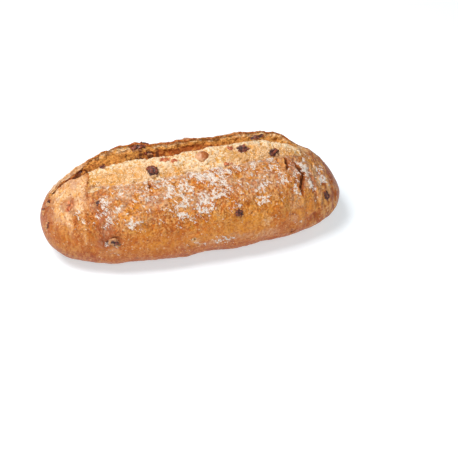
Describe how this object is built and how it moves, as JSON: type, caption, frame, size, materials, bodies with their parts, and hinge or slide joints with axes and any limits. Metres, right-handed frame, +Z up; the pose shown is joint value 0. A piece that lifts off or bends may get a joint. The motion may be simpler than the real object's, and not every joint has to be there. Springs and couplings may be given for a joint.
{
  "type": "fruit bread",
  "caption": "Long rustic loaf baked with raisins, nut and dried fruit, slashed once along its top, with a lifted crust ear and a flat base.",
  "frame": {"origin": "middle of the bounding box's underside, on the flat base that the loaf rests on", "axes": "+X along the loaf, to the right of its front; +Y from the front to the back; +Z up"},
  "size_m": [0.2686, 0.1126, 0.0854],
  "materials": {
    "crust": "satin, baked golden brown",
    "raisin": "satin, wrinkled",
    "dried_fruit": "satin, wrinkled",
    "nut": "satin, brown skin"
  },
  "bodies": {
    "root": {"loaf": "crust", "raisin_01": "raisin", "raisin_02": "raisin", "raisin_03": "raisin", "raisin_04": "raisin", "raisin_05": "raisin", "raisin_06": "raisin", "raisin_07": "raisin", "raisin_08": "raisin", "raisin_09": "raisin", "raisin_10": "raisin", "raisin_11": "raisin", "raisin_12": "raisin", "raisin_13": "raisin", "raisin_14": "raisin", "raisin_15": "raisin", "raisin_16": "raisin", "raisin_17": "raisin", "raisin_18": "raisin", "raisin_19": "raisin", "raisin_20": "raisin", "raisin_21": "raisin", "raisin_22": "raisin", "raisin_23": "raisin", "raisin_24": "raisin", "dried_fruit_01": "dried_fruit", "dried_fruit_02": "dried_fruit", "dried_fruit_03": "dried_fruit", "dried_fruit_04": "dried_fruit", "dried_fruit_05": "dried_fruit", "nut_01": "nut"}
  },
  "joints": []
}
